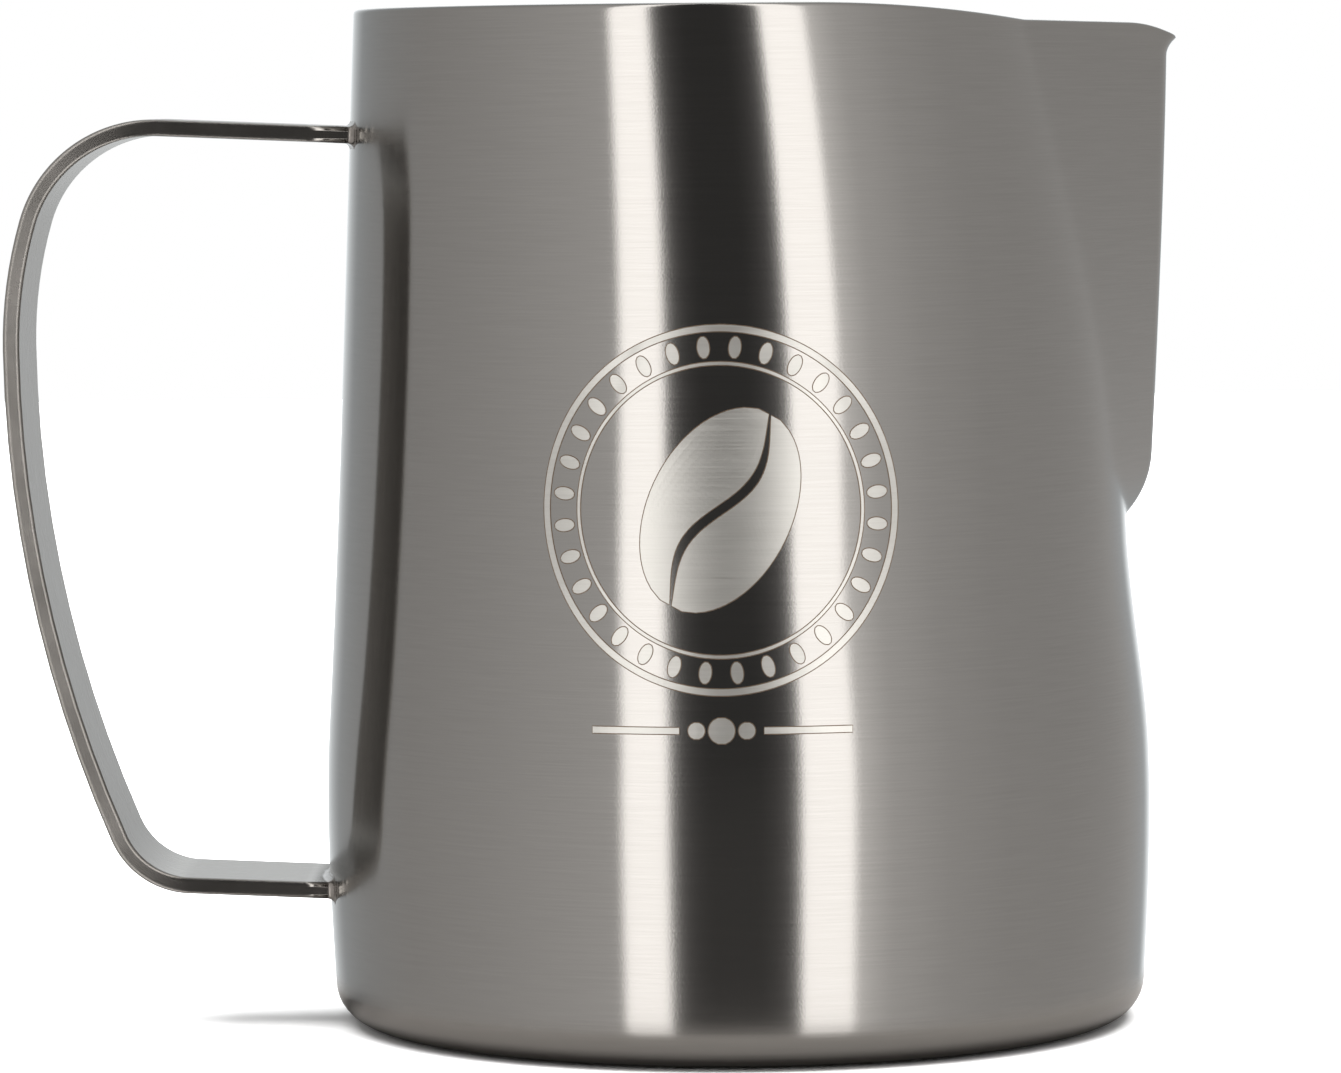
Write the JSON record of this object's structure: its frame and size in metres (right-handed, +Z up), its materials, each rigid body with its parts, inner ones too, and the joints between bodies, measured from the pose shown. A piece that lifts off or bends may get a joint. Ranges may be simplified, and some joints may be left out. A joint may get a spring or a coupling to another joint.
{
  "type": "milk frothing pitcher",
  "caption": "Brushed gunmetal steel milk frothing pitcher with a pressed pouring spout and a flat strap handle welded to its wall.",
  "frame": {"origin": "On the axis of the round cup, in the plane that its foot ring stands on.", "axes": "+Z up along the cup's axis to the open mouth; +X towards the pouring spout, with the handle on -X; +Y completes the right-handed frame, and the pitcher is symmetric about y = 0."},
  "size_m": [0.1276, 0.0898, 0.11],
  "materials": {
    "gunmetal_brushed_steel": "fine brushing running round the cup, gunmetal coating",
    "gunmetal_strap_steel": "satin, brushed along the strap, gunmetal coating",
    "weld_bead_steel": "coated weld bead"
  },
  "bodies": {
    "root": {"pitcher_body": "gunmetal_brushed_steel", "handle_strap": "gunmetal_strap_steel", "upper_handle_weld": "weld_bead_steel", "lower_handle_weld": "weld_bead_steel"}
  },
  "joints": []
}
